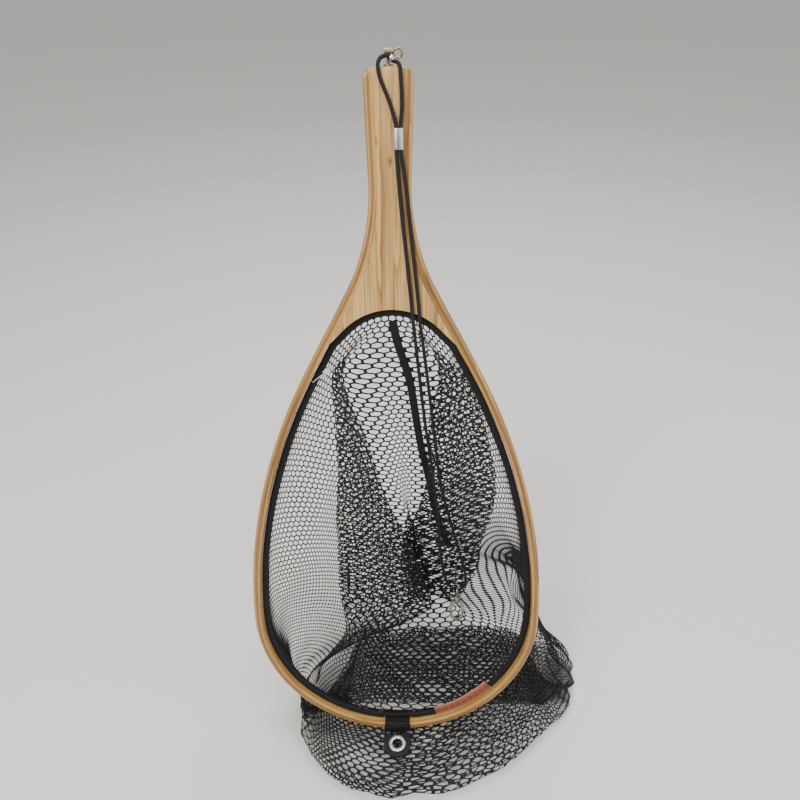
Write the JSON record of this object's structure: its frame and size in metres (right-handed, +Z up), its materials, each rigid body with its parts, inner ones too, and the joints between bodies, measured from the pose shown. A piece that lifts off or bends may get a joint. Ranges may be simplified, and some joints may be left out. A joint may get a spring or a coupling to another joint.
{
  "type": "landing net",
  "caption": "Landing net with a laminated wooden hoop and handle, a knotless black mesh bag, a leather tab and an elastic lanyard with a snap clip.",
  "frame": {"origin": "centre of the swivel barrel on the end of the handle's butt", "axes": "+Z up, +X to the right along the swivel barrel's bore, the hoop's open face looks along -Y and leans back 17.25 degrees as it does against a wall"},
  "size_m": [0.333, 0.2627, 0.6091],
  "materials": {
    "hoop_wood": "satin varnish",
    "core_wood": "satin varnish",
    "handle_wood": "satin varnish",
    "bronze": "aged",
    "black_tape": "woven",
    "black_thread": "twisted",
    "net_mesh": "knotless knitted mesh",
    "label_cloth": "woven",
    "clear_plastic": "clear",
    "black_leather": "semi-matte, full grain",
    "nickel": "polished nickel",
    "crimp_metal": "satin, scored",
    "elastic_cord": "braided",
    "snap_metal": "gunmetal, worn bright"
  },
  "bodies": {
    "frame": {"outer_strip": "hoop_wood", "middle_strip": "core_wood", "inner_strip": "hoop_wood", "handle_core": "handle_wood", "screw_post": "bronze", "swivel_barrel": "bronze", "binding_tape": "black_tape", "lacing_thread": "black_thread", "net_bag": "net_mesh", "seam_tape": "black_tape", "label": "label_cloth", "tag_tie": "clear_plastic", "leather_loop": "black_leather"},
    "tab": {"leather_tab": "black_leather", "grommet": "nickel", "grommet_washer": "nickel"},
    "lanyard": {"ring_eye": "bronze", "loop_crimp": "crimp_metal", "lanyard_cord": "elastic_cord", "cord_crimp": "crimp_metal"},
    "clip_eye": {"swivel_eye": "snap_metal"},
    "clip_hook": {"hook_body": "snap_metal", "gate_pin": "snap_metal", "gate_spring": "snap_metal"},
    "clip_gate": {"gate_lever": "snap_metal"}
  },
  "joints": [
    {"name": "tab_flex", "type": "hinge", "parent": "frame", "child": "tab", "pos_m": [0, -0.1971, -0.597], "axis": [-1, 0, 0], "range_deg": [0, 70], "stiffness_Nm_per_rad": 0.01},
    {"name": "lanyard_swing", "type": "hinge", "parent": "frame", "child": "lanyard", "pos_m": [0, 0, 0], "axis": [-1, 0, 0], "range_deg": [0, 75]},
    {"name": "eye_swing", "type": "hinge", "parent": "lanyard", "child": "clip_eye", "pos_m": [0.064, -0.08582, -0.50737], "axis": [-1, 0, 0], "range_deg": [-22, 60]},
    {"name": "hook_swivel", "type": "hinge", "parent": "clip_eye", "child": "clip_hook", "pos_m": [0.064, -0.09005, -0.51785], "axis": [0, 0.3746, 0.9272], "continuous": true},
    {"name": "gate_pivot", "type": "hinge", "parent": "clip_hook", "child": "clip_gate", "pos_m": [0.05815, -0.09301, -0.52517], "axis": [0, -0.9272, 0.3746], "range_deg": [0, 25], "stiffness_Nm_per_rad": 0.002, "springref_deg": -11.46}
  ]
}
